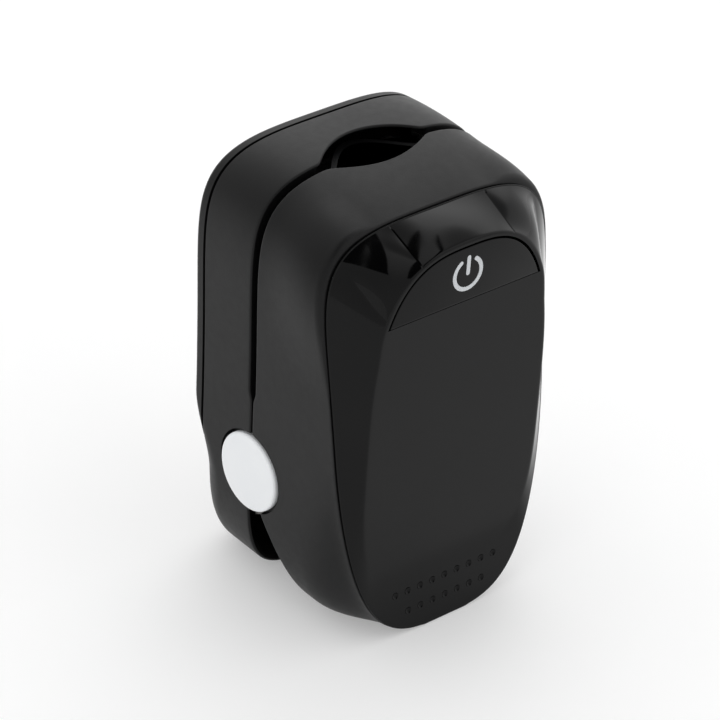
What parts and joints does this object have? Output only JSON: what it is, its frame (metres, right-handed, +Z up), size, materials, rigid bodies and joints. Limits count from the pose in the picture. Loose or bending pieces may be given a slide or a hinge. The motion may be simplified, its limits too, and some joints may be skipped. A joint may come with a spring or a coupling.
{
  "type": "fingertip pulse oximeter",
  "caption": "Clip-on fingertip pulse oximeter: two sprung halves on a hinge, finger opening, glossy display face, power button and battery cover.",
  "frame": {"origin": "bottom centre of the object standing on its hinge end", "axes": "+Z up the body towards the finger opening, +X right when facing the display, -Y the display face, +Y the battery cover"},
  "size_m": [0.0364, 0.0328, 0.0604],
  "materials": {
    "shell_black": "fine satin texture",
    "gloss_black": "polished",
    "cap_white": "satin",
    "cradle_grey": "matt",
    "silicone": "soft matt",
    "steel": "plain",
    "board_green": "solder mask",
    "component": "matt",
    "clear_window": "clear red tint",
    "display_glass": "dark display",
    "cell_wrap": "plain wrap",
    "flex_amber": "amber film",
    "contact": "plated"
  },
  "bodies": {
    "battery_half": {"rear_shell": "shell_black", "rear_cradle": "cradle_grey", "rear_pad": "silicone", "detector_board": "board_green", "photodiode": "component", "detector_window": "clear_window", "battery_left": "cell_wrap", "battery_right": "cell_wrap", "battery_spring_left": "contact", "battery_spring_right": "contact", "contact_bridge": "contact", "hinge_pin_left": "steel", "hinge_pin_right": "steel", "hinge_cap_left": "cap_white", "hinge_cap_right": "cap_white", "torsion_spring": "steel", "spring_rod": "steel", "rear_screw_1": "steel", "rear_screw_2": "steel"},
    "display_half": {"front_shell": "shell_black", "fascia": "gloss_black", "front_cradle": "cradle_grey", "front_pad": "silicone", "emitter_board": "board_green", "light_emitter": "component", "emitter_window": "clear_window", "main_board": "board_green", "display_module": "display_glass", "tact_switch": "component", "buzzer": "component", "processor_chip": "component", "front_screw_1": "steel", "front_screw_2": "steel", "front_screw_3": "steel", "front_screw_4": "steel", "flex_cable": "flex_amber"},
    "power_button": {"power_button": "gloss_black", "button_plunger": "component"},
    "battery_cover": {"battery_cover": "shell_black"}
  },
  "joints": [
    {"name": "clamp_hinge", "type": "hinge", "parent": "battery_half", "child": "display_half", "pos_m": [0, 0.00465, 0.0175], "axis": [1, 0, 0], "range_deg": [0, 22], "stiffness_Nm_per_rad": 0.06, "springref_deg": -51.57, "deforming": ["torsion_spring", "flex_cable"]},
    {"name": "button_press", "type": "slide", "parent": "display_half", "child": "power_button", "axis": [0, 1, 0], "range_m": [0, 0.0004], "stiffness_N_per_m": 400, "springref_m": -0.0002},
    {"name": "cover_slide", "type": "slide", "parent": "battery_half", "child": "battery_cover", "axis": [0, 0, 1], "range_m": [0, 0.046]}
  ]
}
